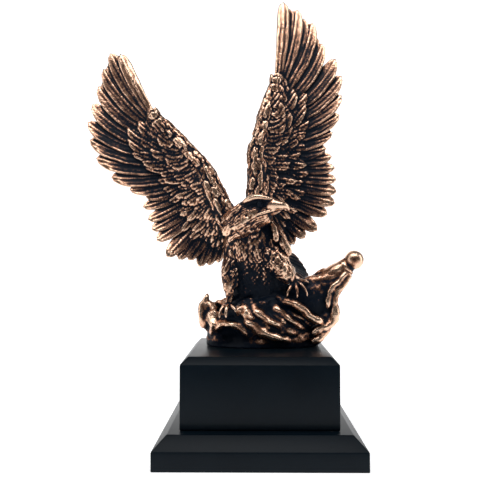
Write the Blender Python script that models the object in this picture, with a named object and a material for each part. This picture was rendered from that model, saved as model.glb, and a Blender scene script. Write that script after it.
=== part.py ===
"""Eagle award trophy: one casting of an eagle landing on a furled flag, on a stepped plinth of two blocks.

+X goes to the right as a viewer in front sees it, +Y goes away from that viewer and +Z is up. The origin is
the centre of the lower slab's underside. The plinth's pieces rest on each other with a thin gap between them.
"""

import math

import bmesh
import bpy
from mathutils import Vector

# Driving dimensions of the plinth, in metres
SLAB_WIDTH = 0.127
SLAB_HEIGHT = 0.0195
SLAB_CHAMFER = 0.008
BLOCK_WIDTH = 0.0974
BLOCK_HEIGHT = 0.0439
BLOCK_CHAMFER = 0.0045
JOINT_GAP = 0.0003

# Driving dimension of the casting: its height above the plinth, in metres
CASTING_HEIGHT = 0.253

# The figure is drawn in millimetres above the plinth, this tall, and then scaled to CASTING_HEIGHT
DRAWN_HEIGHT = 253.0
MM = CASTING_HEIGHT / DRAWN_HEIGHT

# The fused casting's voxel in drawn millimetres, how many triangles are kept, and how many corners a loose
# scrap of the reduced skin has at most
VOXEL = 0.76
CASTING_TRIANGLES = 9600
SCRAP_CORNERS = 20

# Finishes: colour, roughness and metallic value
BLACK_LACQUER = ((0.012, 0.014, 0.018, 1.0), 0.32, 0.0)
ANTIQUE_COPPER = ((0.42, 0.22, 0.12, 1.0), 0.38, 0.9)

# A wing lies in its own plane: u across the chord, v along the wing, h off the surface to the front.
# Rows below that start with a feather's number count from the leading edge to the body.
FEATHERS = 21
FEATHER_ROOTS = ((0, 4, 86), (4, 3, 62), (8, 0, 41), (14, 2, 14), (20, 6, -8))
FEATHER_WIDTH = ((0, 9.5), (2, 12.5), (4, 13.5), (8, 14), (11, 10), (15, 12), (20, 10))
FEATHER_SAG = ((0, 0.02), (4, 0.10), (8, 0.05), (12, 0), (20, -0.04))
FEATHER_THICKNESS = 2.7
FEATHER_TILT = 0.27
ARM = (
    (2, -24, 8, 8), (1, -4, 7.5, 8), (-1.2, 16, 7, 7), (-4, 32, 6.3, 6.3), (-2.6, 52, 5, 5), (-1, 70, 3.8, 4),
    (3.5, 97, 2.2, 2.3),
)
OUTER_FILLERS = (0.5, 1.5, 2.5)
FILLER_REACH = 0.965
FILLER_LIFT = -0.8
ALULAE = (((-3, 47), (-4.5, 71)), ((1, 70), (-1.2, 94)))
WING_LENGTH = 150.0
WING_CHORD = 50.0
WING_LEAN = 20.0
WING_CUP = 8.0

# Rows of feathers on a wing: reach as a share of the flight feather, lift, width share, step in number
COVERT_ROWS = (
    (1.0, 0.0, 1.0, 0.0), (0.58, 2.0, 0.92, 0.5), (0.38, 3.6, 0.86, 0.0), (0.22, 5.0, 0.8, 0.5),
    (0.52, -2.0, 0.92, 0.5), (0.28, -3.4, 0.86, 0.0),
)

LEFT_WING = {
    "shoulder": (-23.4, 7, 92.4), "turn": math.radians(34.5), "side": -1,
    "tips": (
        (0, -2.5, 145), (1, 3.5, 151), (2, 14.5, 144.5), (3, 25, 135.5), (5, 46, 115), (7, 55, 87.5), (8, 53.5, 69),
        (9, 47.5, 54), (10, 41, 43), (11, 46.5, 38), (12, 48.5, 28), (14, 51.5, 12), (15, 52, -1.5),
        (16, 46.5, -7.5), (17, 41, -12), (18, 37.5, -20), (20, 25, -25),
    ),
}
RIGHT_WING = {
    "shoulder": (-1.6, 9, 102), "turn": math.radians(7.2), "side": 1,
    "tips": (
        (0, 1, 153.5), (1, 12, 150), (2, 24.5, 141), (3, 33.5, 125), (4, 44.5, 113), (5, 50, 99.5), (7, 51.5, 69.5),
        (9, 45, 44), (10, 49.5, 38), (12, 54.5, 21.5), (14, 55.5, 4.5), (15, 51, -4), (16, 45.5, -16),
        (18, 31, -27.5), (20, 25, -41),
    ),
}

# The body's forms: centre, then half-widths in the picture plane and in depth
TORSO = (
    (0, 6, 25, 18, 12), (0, 5, 40, 20, 14), (-0.5, 4, 56, 21.5, 16), (-3, 2, 69, 22, 16), (-6, 2, 80, 18, 15),
    (-9, 4, 89, 11, 10),
)
NECK = (
    (-24, -3, 77, 9, 10), (-15, -8, 83, 10.8, 11), (-4, -13, 90, 11, 10), (4, -16.5, 94.3, 9.6, 8.4),
    (9.5, -18, 95.4, 6.2, 5.6),
)
UPPER_BEAK = ((5, -17.5, 96.5, 5.2, 4.8), (11, -18.6, 97, 3.9, 3.6), (16, -19.4, 96.3, 2.6, 2.3),
              (18.8, -19.7, 94, 1.5, 1.3), (18.9, -19.8, 91.2, 0.7, 0.6))
LOWER_BEAK = ((3, -17.5, 90.5, 3.4, 3.8), (9, -18.6, 91.3, 2.4, 2.7), (14.5, -19.2, 93, 1.3, 1.5))
BROW = ((-7, -21, 98.3, 1.5, 2.2), (-1, -23.6, 99.6, 1.9, 2.4), (6, -24, 98.9, 1.5, 1.8), (10, -22, 98, 0.8, 1))
EYE = (0.4, -23.6, 95.6, 2.0)
LEFT_LEG = ((-14, 2, 62, 10, 9), (-18.8, -3, 52, 7.5, 7.5), (-20, -7, 42, 4.8, 5), (-20.4, -9, 35, 2.6, 2.6),
            (-21, -11, 28, 2, 2))
RIGHT_LEG = ((4, -2, 66, 11, 10), (12, -8, 57, 8.5, 8), (19.5, -11, 48.5, 5.6, 5.6), (23.5, -12, 44, 2.8, 2.8))
LEFT_TOES = (
    ((-21, -10, 29), (-24.5, -14, 27.5), (-26.4, -16.5, 23), (-26, -17, 20)),
    ((-21, -10, 29), (-21.8, -15.5, 27.5), (-22.2, -18, 23.5), (-21.6, -18.4, 20)),
    ((-21, -10, 29), (-18, -13.5, 28), (-16.4, -15.5, 26.5), (-15.2, -16.5, 24)),
    ((-21, -8, 29.5), (-20.5, -4, 29), (-20, -1, 27), (-20, 0, 25)),
)
RIGHT_TOES = (
    ((23.5, -12, 44.5), (28, -14.5, 42.5), (31, -15.5, 38.5), (32, -15.6, 34.5)),
    ((23.5, -12, 44.5), (24.5, -16.5, 41.5), (25, -18.5, 37.5), (25, -18.6, 34)),
    ((23.5, -12, 44.5), (20.8, -15.5, 41), (19, -17, 38), (18.3, -17, 34.5)),
    ((23.5, -12, 44.5), (28, -9, 45.5), (32, -8, 45), (34, -8, 43.6)),
)
TOE_RADIUS = 1.9

# Courses of short feathers, as shares of a form's length
NECK_COURSES = (0.16, 0.34, 0.52, 0.68)
TORSO_COURSES = (0.34, 0.48, 0.62, 0.76)
LEG_COURSES = (0.25, 0.5)

# Short feathers round a form: how many in a course, their length and their width
NECK_PLUMES = (11, 13, 6)
TORSO_PLUMES = (14, 14, 8.5)
LEG_PLUMES = (6, 9, 5)
PLUME_LIFT = 0.6
PLUME_THICKNESS = 2.2

# The tail's fan
TAIL_ROOT = (6, 14, 66)
TAIL_TIP = (39, 48, 48.5)
TAIL_FEATHERS = 7
TAIL_SPREAD = 12.0

# The flag's crumpled mound: centre, then half-widths, of level slices from the plinth up
MOUND = (
    (0, 6, -3, 36, 20), (0, 6, 4, 37, 20), (3, 5, 11, 39, 19.5), (5, 5, 18, 41, 19), (5, 5, 25, 40, 17),
    (4, 6, 31, 31, 14), (3, 8, 36, 20, 9),
)
SLEEVE = (
    (10, 3, 14, 16, 12), (28, 2, 25, 19, 11), (40, 0, 36.5, 14.5, 9.5), (46.3, -1, 41.6, 10.2, 8),
    (54, -3, 49.4, 8.4, 6.5), (59.8, -4.4, 55.2, 5.8, 5.2), (63, -5, 57.8, 4.6, 4.4),
)
BALL = (64.9, -5.2, 59.4, 6.6)
COLLAR = ((58.8, -4.2, 53.6, 6.6, 5.8), (60.6, -4.6, 55.3, 6.4, 5.7))

# Folds on the front of the flag: across, up and half-width; they lie on the mound
FRONT_FOLDS = (
    ((-16.5, 27.5, 3), (-11.5, 25, 4.2), (-4.5, 20.6, 3.6), (0.5, 14.2, 2.9), (6.4, 9.4, 2.6), (15.7, 6.2, 2.5),
     (25, 3.9, 2.1)),
    ((-4.6, 24.8, 1.3), (4.1, 20.7, 1.9), (13.5, 16, 1.7), (21.4, 11.8, 1.5), (29.2, 6.6, 1.2)),
    ((-4, 30, 2.2), (2, 29, 3), (8, 26.6, 2.8), (13.5, 22.2, 2.4), (21.4, 17.6, 2.1), (29.2, 12, 1.8),
     (34, 10.4, 1.5)),
    ((-34, 8, 2), (-28.8, 13, 2.5), (-23.4, 15.6, 2.8), (-19, 15.6, 2.9), (-14.7, 13.8, 2.6), (-9.2, 10, 2.3),
     (-3.8, 4.9, 1.8)),
    ((-35.8, 32, 1.6), (-31.5, 25.5, 2.8), (-26.6, 18.6, 2.3)),
    ((-36.2, 32, 1.8), (-36.4, 24, 2.3), (-36, 15, 2.4), (-33.2, 8.9, 2.2)),
    ((2, 12.4, 1.1), (9, 11.6, 1.6), (17, 9.4, 1.5), (25, 6.6, 1)),
    ((-34, 3, 2.6), (-31, 1.5, 2.8), (-27, 0.5, 2)),
)

# Folds that stand free of the mound: centre and half-width
FREE_FOLDS = (
    ((11, -10, 35, 1.8), (16, -13, 32.2, 2.4), (23, -14, 30.3, 2.7), (29.2, -14, 26.4, 2.9), (35.5, -14, 20.4, 3),
     (43.5, -12, 18, 3)),
    ((62, -6, 52.4, 2), (59.6, -7, 46, 2.4), (54.6, -8, 40, 2.6), (51, -8.5, 34.6, 2.8), (50.8, -8.5, 29, 3),
     (51.4, -8.5, 23.8, 3.3), (49.6, -9, 18.8, 3.5), (45.4, -10, 15.2, 3.3), (40, -11, 12.6, 3), (34.5, -12, 9.5, 2.4)),
    ((59.4, -8.5, 52, 1.5), (55, -9.5, 45.8, 1.9), (49.4, -10, 41, 2.1), (46.8, -10.5, 34, 2.1),
     (46, -11, 26, 1.6)),
    ((-36, 4, 12, 6), (-36.6, 3, 22, 5), (-36.8, 2, 30, 3), (-36.4, 2, 37, 0.9)),
    ((-37.4, 3, 33, 1.6), (-40, 1, 26, 2.5), (-39.6, 0, 19, 2.3), (-36.4, 0, 12, 2)),
    ((47.6, -6, 14, 2.4), (43.6, -8, 9.6, 3), (39.4, -9, 5.6, 3), (35, -9, 3, 2.6)),
    ((-33, 4, 27.5, 2), (-26, 5, 29.5, 2.4), (-18, 5, 32, 2.6), (-8, 7, 33.5, 2.4)),
    ((26, 3, 44, 2.4), (32, 2, 45.6, 2.2), (38, 1, 47.6, 2), (46, -1, 53.6, 1.8)),
    ((46, -3, 36, 4), (47, -3, 26, 4.6), (44, -4, 15, 6)),
)

# Folds on the back, which are plainer: a slanting row of equal ridges on a bowed face
BACK_FOLDS = 6
BACK_FOLD_START = -30
BACK_FOLD_STEP = 12
BACK_FOLD_SLANT = 10
BACK_FOLD_HEIGHT = 30
BACK_FOLD_WIDTH = 2.8
BACK_FOLD_DEPTH = 3
BACK_MIDDLE = 2
BACK_HALF_WIDTH = 44
BACK_REACH = 24
BACK_FALL = 7

WELD = 1e-4


def smooth(stations, t):
    """The value at t of a smooth curve through stations, whose rows are t and then the values there."""
    ts = [row[0] for row in stations]
    values = [Vector(row[1:]) if len(row) > 2 else row[1] for row in stations]
    last = len(ts) - 1
    k = 0
    while k < last - 1 and t > ts[k + 1]:
        k += 1

    def slope(i):
        low, high = max(i - 1, 0), min(i + 1, last)
        return (values[high] - values[low]) / (ts[high] - ts[low])

    span = ts[k + 1] - ts[k]
    s = (t - ts[k]) / span
    ends = values[k] * (2 * s**3 - 3 * s**2 + 1) + values[k + 1] * (3 * s**2 - 2 * s**3)
    return ends + slope(k) * (span * (s**3 - 2 * s**2 + s)) + slope(k + 1) * (span * (s**3 - s**2))


def spaced(points):
    """Rows for smooth() from 0 to 1 through points, spaced by their distances."""
    lengths = [0.0]
    for a, b in zip(points, points[1:]):
        lengths.append(lengths[-1] + (Vector(b[:3]) - Vector(a[:3])).length)
    return [(length / lengths[-1], *point) for length, point in zip(lengths, points)]


def rounded(s, start, end):
    """1 along the middle of a form, falling to 0 as a quarter circle over start and end at its ends."""
    share = 1.0
    if s < start:
        share *= math.sqrt(max(0.0, 1 - (1 - s / start) ** 2))
    if s > 1 - end:
        share *= math.sqrt(max(0.0, 1 - (1 - (1 - s) / end) ** 2))
    return share


def add_shell(mesh, around, along, place):
    """Add a closed tube to mesh. place(angle, share) gives its points, and its two ends come to a point."""
    verts = bmesh.ops.create_grid(mesh, x_segments=around, y_segments=along, size=1)["verts"]
    for vert in verts:
        vert.co = place((vert.co.x + 1) * math.pi, (vert.co.y + 1) / 2)
    bmesh.ops.remove_doubles(mesh, verts=verts, dist=WELD)


def limb_point(rows, angle, s, h=0.0, size=1.0):
    """A point h off the skin of a form, at an angle round it and a share s of its length.

    The form's rows for smooth() hold x, y, z, its half-width in the picture plane and its half-width in depth.
    """
    here = smooth(rows, s)
    ahead, behind = smooth(rows, min(s + 0.02, 1)), smooth(rows, max(s - 0.02, 0))
    tangent = (Vector(ahead[:3]) - Vector(behind[:3])).normalized()
    side = tangent.cross(Vector((0, 1, 0))).normalized()
    depth = tangent.cross(side)
    spoke = side * (here[3] * size + h) * math.cos(angle) + depth * (here[4] * size + h) * math.sin(angle)
    return Vector(here[:3]) + spoke


def add_limb(mesh, points, around=12, along=14, start=0.12, end=0.12):
    """Add a rounded form through points: x, y, z, half-width in the picture plane, half-width in depth."""
    rows = spaced(points)
    add_shell(mesh, around, along, lambda angle, s: limb_point(rows, angle, s, 0, rounded(s, start, end)))


def on_wing(wing, u, v, h):
    """The place of a point of a wing: u across the chord, v along the wing and h in front of its surface."""
    along = max(v, 0) / WING_LENGTH
    chord = min(max(u / WING_CHORD, 0), 1)
    back = WING_LEAN * along**1.6 + WING_CUP * 4 * chord * (1 - chord) * (1 - 0.5 * along)
    turn, side = wing["turn"], wing["side"]
    across = side * (u * math.cos(turn) + v * math.sin(turn))
    up = v * math.cos(turn) - u * math.sin(turn)
    return Vector(wing["shoulder"]) + Vector((across, back - h, up))


def add_feather(mesh, place_on, root, tip, width, sag, lift, thickness=FEATHER_THICKNESS, tilt=FEATHER_TILT):
    """Add a feather: a leaf with a blunt round end on a curved shaft, laid on the surface place_on(u, v, h)."""
    root, run = Vector(root), Vector(tip) - Vector(root)
    across = Vector((run.y, -run.x)).normalized()
    blunt = min(0.6 * width / run.length, 0.45)

    def place(angle, s):
        shaft = root + run * s + across * (run.length * sag * 4 * s * (1 - s))
        half = width / 2 * (0.5 + 0.5 * min(s / 0.55, 1)) * rounded(s, 0.05, blunt)
        offset = math.cos(angle) * half
        bulge = math.copysign(abs(math.sin(angle)) ** 0.8, math.sin(angle)) * thickness / 2
        spot = shaft + across * offset
        return place_on(spot.x, spot.y, lift - tilt * offset + bulge * rounded(s, 0.05, blunt / 2))

    add_shell(mesh, 8, 10, place)


def add_wing(mesh, wing):
    """Add one wing: its rows of feathers on both faces, the arm along the leading edge and two thumb feathers."""

    def place_on(u, v, h):
        return on_wing(wing, u, v, h)

    for reach, lift, breadth, step in COVERT_ROWS:
        for number in range(FEATHERS - (1 if step else 0)):
            place = number + step
            root = smooth(FEATHER_ROOTS, place)
            tip = root + (smooth(wing["tips"], place) - root) * reach
            width = smooth(FEATHER_WIDTH, place) * breadth
            add_feather(mesh, place_on, root, tip, width, smooth(FEATHER_SAG, place), lift)
    for place in OUTER_FILLERS:
        root = smooth(FEATHER_ROOTS, place)
        tip = root + (smooth(wing["tips"], place) - root) * FILLER_REACH
        width = smooth(FEATHER_WIDTH, place)
        add_feather(mesh, place_on, root, tip, width, smooth(FEATHER_SAG, place), FILLER_LIFT)
    for root, tip in ALULAE:
        add_feather(mesh, place_on, root, tip, 5, 0.06, 1.2)
    add_limb(mesh, [(*on_wing(wing, u, v, 0.5), r, d) for u, v, r, d in ARM], along=18, end=0.08)


def add_plumage(mesh, points, courses, plumes):
    """Lay short feathers on a form, in courses at the shares given, each hanging towards the form's first point."""
    count, length, width = plumes
    rows = spaced(points)
    reach = sum((Vector(b[:3]) - Vector(a[:3])).length for a, b in zip(points, points[1:]))
    for course, share in enumerate(courses):
        girth = smooth(rows, share)[3]
        for number in range(count):
            middle = math.tau * (number + 0.5 * (course % 2)) / count

            def place_on(u, v, h, share=share, middle=middle, girth=girth):
                return limb_point(rows, middle + u / girth, min(max(share - v / reach, 0), 1), h)

            add_feather(mesh, place_on, (0, -length / 2), (0, length / 2), width, 0, PLUME_LIFT, PLUME_THICKNESS, 0)


def add_tail(mesh):
    """Add the tail: a fan of feathers from the rump, back and down to the right."""
    root, tip = Vector(TAIL_ROOT), Vector(TAIL_TIP)
    run = tip - root
    across = Vector((0.35, -0.45, -0.82)).normalized()
    normal = run.cross(across).normalized()

    def place_on(u, v, h):
        return root + run.normalized() * v + across * u + normal * h

    for number in range(TAIL_FEATHERS):
        share = number / (TAIL_FEATHERS - 1) * 2 - 1
        end = (TAIL_SPREAD * share, run.length * (1 - 0.12 * share**2))
        lift = 0.9 * (1 - abs(share))
        add_feather(mesh, place_on, (TAIL_SPREAD * 0.3 * share, 0), end, 9, 0, lift, 3, 0)


def mound_front(x, z):
    """How far back the mound's front face is, at x across and z up."""
    rows = [(row[2], row[0], row[1], row[3], row[4]) for row in MOUND]
    cx, cy, rx, ry = smooth(rows, min(max(z, rows[0][0]), rows[-1][0]))
    return cy - ry * math.sqrt(max(0.02, 1 - ((x - cx) / rx) ** 2))


def add_flag(mesh):
    """Add the furled flag: its mound, the sleeve round the pole with its ball, and the folds."""
    add_limb(mesh, MOUND, around=28, along=14, start=0.02, end=0.12)
    add_limb(mesh, SLEEVE, around=14, along=14, end=0.04)
    add_limb(mesh, COLLAR, around=14, along=4, start=0.3, end=0.3)
    x, y, z, radius = BALL
    ball = bmesh.ops.create_icosphere(mesh, subdivisions=3, radius=radius)["verts"]
    bmesh.ops.translate(mesh, verts=ball, vec=(x, y, z))
    for fold in FRONT_FOLDS:
        points = [(x, mound_front(x, z) + 0.3, z, r, r * 1.2) for x, z, r in fold]
        add_limb(mesh, points, around=10, along=20)
    for fold in FREE_FOLDS:
        add_limb(mesh, [(x, y, z, r, r * 1.15) for x, y, z, r in fold], around=10, along=20)
    for number in range(BACK_FOLDS):
        points = []
        for t in (0, 0.33, 0.66, 1):
            x = BACK_FOLD_START + BACK_FOLD_STEP * number + BACK_FOLD_SLANT * t
            bow = math.sqrt(max(0.1, 1 - (x / BACK_HALF_WIDTH) ** 2))
            y = BACK_MIDDLE + (BACK_REACH - BACK_FALL * t**2) * bow
            points.append((x, y, BACK_FOLD_HEIGHT * t, BACK_FOLD_WIDTH, BACK_FOLD_DEPTH))
        add_limb(mesh, points, around=10, along=12)


def add_body(mesh):
    """Add the eagle's torso, neck, head, legs and toes."""
    for form in (TORSO, NECK):
        add_limb(mesh, form, around=16, along=14, start=0.2, end=0.2)
    add_limb(mesh, UPPER_BEAK, along=12, start=0.2, end=0.06)
    add_limb(mesh, LOWER_BEAK, along=8, start=0.2, end=0.1)
    add_limb(mesh, BROW, around=10, along=8)
    x, y, z, radius = EYE
    eye = bmesh.ops.create_icosphere(mesh, subdivisions=2, radius=radius)["verts"]
    bmesh.ops.translate(mesh, verts=eye, vec=(x, y, z))
    for leg in (LEFT_LEG, RIGHT_LEG):
        add_limb(mesh, leg, around=12, along=12)
        add_plumage(mesh, leg, LEG_COURSES, LEG_PLUMES)
    add_plumage(mesh, NECK, NECK_COURSES, NECK_PLUMES)
    add_plumage(mesh, TORSO, TORSO_COURSES, TORSO_PLUMES)
    for toe in (*LEFT_TOES, *RIGHT_TOES):
        last = len(toe) - 1
        points = [(*point, TOE_RADIUS * (1 - 0.72 * i / last), TOE_RADIUS * (1 - 0.72 * i / last))
                  for i, point in enumerate(toe)]
        add_limb(mesh, points, around=8, along=10)


def finish_material(name, finish):
    """A plain material with a finish's colour, roughness and metallic value."""
    colour, roughness, metallic = finish
    material = bpy.data.materials.new(name)
    material.use_nodes = True
    shader = material.node_tree.nodes["Principled BSDF"]
    shader.inputs["Base Color"].default_value = colour
    shader.inputs["Roughness"].default_value = roughness
    shader.inputs["Metallic"].default_value = metallic
    return material


def new_object(name, mesh, material):
    """A named object from a bmesh, with its material."""
    data = bpy.data.meshes.new(name)
    mesh.to_mesh(data)
    mesh.free()
    data.materials.append(material)
    piece = bpy.data.objects.new(name, data)
    bpy.context.scene.collection.objects.link(piece)
    return piece


def make_step(name, width, height, chamfer, base, material):
    """A square plinth step with its top edges chamfered, standing at the height base."""
    mesh = bmesh.new()
    bmesh.ops.create_cube(mesh, size=1)
    bmesh.ops.scale(mesh, verts=mesh.verts, vec=(width, width, height))
    top_edges = [edge for edge in mesh.edges if all(vert.co.z > 0 for vert in edge.verts)]
    bmesh.ops.bevel(mesh, geom=top_edges, offset=chamfer, segments=1, profile=0.5, affect="EDGES", material=-1)
    bmesh.ops.translate(mesh, verts=mesh.verts, vec=(0, 0, base + height / 2))
    return new_object(name, mesh, material)


def fuse(piece):
    """Fuse a piece's overlapping forms into one closed skin and keep CASTING_TRIANGLES of its triangles."""
    remesh = piece.modifiers.new("fuse", "REMESH")
    remesh.mode = "VOXEL"
    remesh.voxel_size = VOXEL * MM
    remesh.adaptivity = 0
    skin = piece.evaluated_get(bpy.context.evaluated_depsgraph_get()).data
    triangles = sum(len(face.vertices) - 2 for face in skin.polygons)
    reduce = piece.modifiers.new("reduce", "DECIMATE")
    reduce.ratio = CASTING_TRIANGLES / triangles
    reduced = bpy.data.meshes.new_from_object(piece.evaluated_get(bpy.context.evaluated_depsgraph_get()))
    piece.modifiers.clear()
    piece.data = reduced


def scraps(mesh):
    """The corners of the loose scraps that thinning left inside the skin."""
    left, found = set(mesh.verts), []
    while left:
        group = [left.pop()]
        for vert in group:
            for edge in vert.link_edges:
                other = edge.other_vert(vert)
                if other in left:
                    left.discard(other)
                    group.append(other)
        if len(group) <= SCRAP_CORNERS:
            found += group
    return found


def cut_flat(piece, height):
    """Cut a piece off flat at a height, close the cut and drop the scraps."""
    mesh = bmesh.new()
    mesh.from_mesh(piece.data)
    bmesh.ops.delete(mesh, geom=scraps(mesh), context="VERTS")
    geometry = mesh.verts[:] + mesh.edges[:] + mesh.faces[:]
    cut = bmesh.ops.bisect_plane(
        mesh, geom=geometry, plane_co=(0, 0, height), plane_no=(0, 0, 1), clear_inner=True, dist=1e-6,
    )
    edges = [item for item in cut["geom_cut"] if isinstance(item, bmesh.types.BMEdge)]
    bmesh.ops.edgeloop_fill(mesh, edges=edges)
    bmesh.ops.triangulate(mesh, faces=mesh.faces[:])
    bmesh.ops.recalc_face_normals(mesh, faces=mesh.faces[:])
    mesh.to_mesh(piece.data)
    mesh.free()


def make_casting(base, material):
    """The eagle and the flag, one casting, with its flat underside at the height base."""
    mesh = bmesh.new()
    add_body(mesh)
    add_tail(mesh)
    add_flag(mesh)
    for wing in (LEFT_WING, RIGHT_WING):
        add_wing(mesh, wing)
    bmesh.ops.recalc_face_normals(mesh, faces=mesh.faces[:])
    bmesh.ops.scale(mesh, verts=mesh.verts, vec=(MM, MM, MM))
    bmesh.ops.translate(mesh, verts=mesh.verts, vec=(0, 0, base))
    casting = new_object("eagle_casting", mesh, material)
    fuse(casting)
    cut_flat(casting, base)
    casting.data.shade_smooth()
    casting.data.set_sharp_from_angle(angle=math.radians(40))
    return casting


def main():
    for item in list(bpy.data.objects):
        bpy.data.objects.remove(item)
    lacquer = finish_material("black_lacquer", BLACK_LACQUER)
    copper = finish_material("antique_copper", ANTIQUE_COPPER)
    make_step("base_slab", SLAB_WIDTH, SLAB_HEIGHT, SLAB_CHAMFER, 0, lacquer)
    block_base = SLAB_HEIGHT + JOINT_GAP
    make_step("plinth_block", BLOCK_WIDTH, BLOCK_HEIGHT, BLOCK_CHAMFER, block_base, lacquer)
    make_casting(block_base + BLOCK_HEIGHT + JOINT_GAP, copper)


main()
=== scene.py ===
# %% [markdown]
# # An eagle award trophy
# The trophy is one copper-plated casting, an eagle landing on a furled flag, on a black lacquered plinth of
# two steps. The plinth is made from its own two solids. The casting's looks are made here: every feather,
# lock and fold is a closed form of its own, all of them are fused into one skin as wax is before casting,
# and fine relief is then raised on that skin.

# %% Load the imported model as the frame
import math
from functools import lru_cache

import bmesh
import bpy
import numpy as np
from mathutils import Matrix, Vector
from mathutils.bvhtree import BVHTree


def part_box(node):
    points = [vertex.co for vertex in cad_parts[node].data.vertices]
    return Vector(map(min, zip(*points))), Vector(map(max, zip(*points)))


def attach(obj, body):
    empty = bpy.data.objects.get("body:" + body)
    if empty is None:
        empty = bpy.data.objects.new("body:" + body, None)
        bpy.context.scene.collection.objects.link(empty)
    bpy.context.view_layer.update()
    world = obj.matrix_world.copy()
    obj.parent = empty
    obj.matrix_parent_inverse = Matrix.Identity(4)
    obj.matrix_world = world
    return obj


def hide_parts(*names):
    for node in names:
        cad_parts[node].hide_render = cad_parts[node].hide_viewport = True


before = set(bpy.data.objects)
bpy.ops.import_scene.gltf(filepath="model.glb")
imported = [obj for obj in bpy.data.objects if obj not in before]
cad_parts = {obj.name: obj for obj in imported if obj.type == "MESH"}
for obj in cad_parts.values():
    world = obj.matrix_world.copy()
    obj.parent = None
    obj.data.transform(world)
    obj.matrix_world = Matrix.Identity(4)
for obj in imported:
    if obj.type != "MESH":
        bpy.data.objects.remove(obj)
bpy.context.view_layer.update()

casting_low, casting_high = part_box("eagle_casting")
print("the frame holds", sorted(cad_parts))

# %% [markdown]
# ## Units of the figure
# A modeller draws the figure in millimetres above the plinth. The frame gives where the plinth ends and how
# tall the casting is, so the drawn figure is scaled and lifted once, at the end.

# %% The figure's scale
DRAWN_HEIGHT = 253.0
PLINTH_TOP = casting_low.z
MM = (casting_high.z - casting_low.z) / DRAWN_HEIGHT
print("one drawn millimetre is", round(MM, 6), "m")

# %% [markdown]
# ## The camera
# The photograph was taken from straight in front, a little above the plinth and about 0.4 m away. A camera
# this near spreads the wings and shows the tops of both plinth steps, so its place comes before its lens.

# %% The camera
CAMERA_PLACE = (-0.0029, -0.3937, 0.1206)
CAMERA_TILT = math.radians(91.41)
CAMERA_TURN = math.radians(0.505)
SENSOR = 36.0
FOCAL_PIXELS = 567.0
IMAGE_PIXELS = 500.0

camera_data = bpy.data.cameras.new("camera")
camera_data.sensor_width = SENSOR
camera_data.lens = SENSOR * FOCAL_PIXELS / IMAGE_PIXELS
camera = bpy.data.objects.new("camera", camera_data)
camera.location = CAMERA_PLACE
camera.rotation_euler = (CAMERA_TILT, 0, CAMERA_TURN)
bpy.context.scene.collection.objects.link(camera)
bpy.context.scene.camera = camera
print("lens", round(camera_data.lens, 2), "mm")

# %% [markdown]
# ## The studio
# A product photograph of dark metal needs a white room to reflect and dark places between the lights. The
# floor and the wall behind are pale, and soft lamps stand above, at the left and at the right. Their glow
# fades outside the picture, because the metal mirrors it: a room that is white all round would draw a pale
# line along every edge of the casting.

# %% Floor and wall
def stage_material(name, colour, glow):
    """A plain pale surface that also gives off a little light, as a lit paper sweep does."""
    material = bpy.data.materials.new(name)
    material.use_nodes = True
    shader = material.node_tree.nodes["Principled BSDF"]
    shader.inputs["Base Color"].default_value = (*colour, 1)
    shader.inputs["Roughness"].default_value = 0.9
    shader.inputs["Emission Color"].default_value = (*colour, 1)
    shader.inputs["Emission Strength"].default_value = glow
    return material


def add_stage(name, size, centre, turn, material):
    """A flat sheet of the studio, which isn't part of the trophy."""
    mesh = bmesh.new()
    bmesh.ops.create_grid(mesh, x_segments=1, y_segments=1, size=size / 2)
    data = bpy.data.meshes.new(name)
    mesh.to_mesh(data)
    mesh.free()
    data.materials.append(material)
    sheet = bpy.data.objects.new(name, data)
    sheet.location = centre
    sheet.rotation_euler = (turn, 0, 0)
    bpy.context.scene.collection.objects.link(sheet)
    return sheet


FADED = 0.13


def add_fade(material, axis, start, end, both_sides=False):
    """Let a sheet's glow fall from full at start to the FADED share at end, along one of its own axes."""
    nodes, link = material.node_tree.nodes, material.node_tree.links.new
    glow = nodes["Principled BSDF"].inputs["Emission Strength"]
    place = nodes.new("ShaderNodeTexCoord")
    parts = nodes.new("ShaderNodeSeparateXYZ")
    link(place.outputs["Object"], parts.inputs["Vector"])
    distance = parts.outputs[axis]
    if both_sides:
        unsigned = nodes.new("ShaderNodeMath")
        unsigned.operation = "ABSOLUTE"
        link(distance, unsigned.inputs[0])
        distance = unsigned.outputs["Value"]
    fade = nodes.new("ShaderNodeMapRange")
    for name, value in (("From Min", start), ("From Max", end), ("To Min", 1), ("To Max", FADED)):
        fade.inputs[name].default_value = value
    link(distance, fade.inputs["Value"])
    total = nodes.new("ShaderNodeMath")
    total.operation = "MULTIPLY"
    total.inputs[1].default_value = glow.default_value
    if glow.is_linked:
        link(glow.links[0].from_socket, total.inputs[1])
    link(fade.outputs["Result"], total.inputs[0])
    link(total.outputs["Value"], glow)


PAPER = (0.95, 0.95, 0.95)
FLOOR_GLOW = 0.62
WALL_GLOW = 0.88
WALL_BACK = 0.9
floor_paper = stage_material("pale_floor", PAPER, FLOOR_GLOW)
add_fade(floor_paper, "Y", -0.11, -0.3)
add_fade(floor_paper, "X", 0.3, 0.9, both_sides=True)
wall_paper = stage_material("pale_wall", PAPER, WALL_GLOW)
add_fade(wall_paper, "X", 0.6, 0.72, both_sides=True)
add_fade(wall_paper, "Y", 0.74, 0.86)
add_stage("floor", 6.0, (0, 0, 0), 0, floor_paper)
add_stage("wall", 4.0, (0, WALL_BACK, 0), math.radians(90), wall_paper)
print("the wall stands", WALL_BACK, "m behind the trophy")

# %% Lamps and the room's own light
FIGURE_MIDDLE = (0, 0, 0.2)


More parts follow.
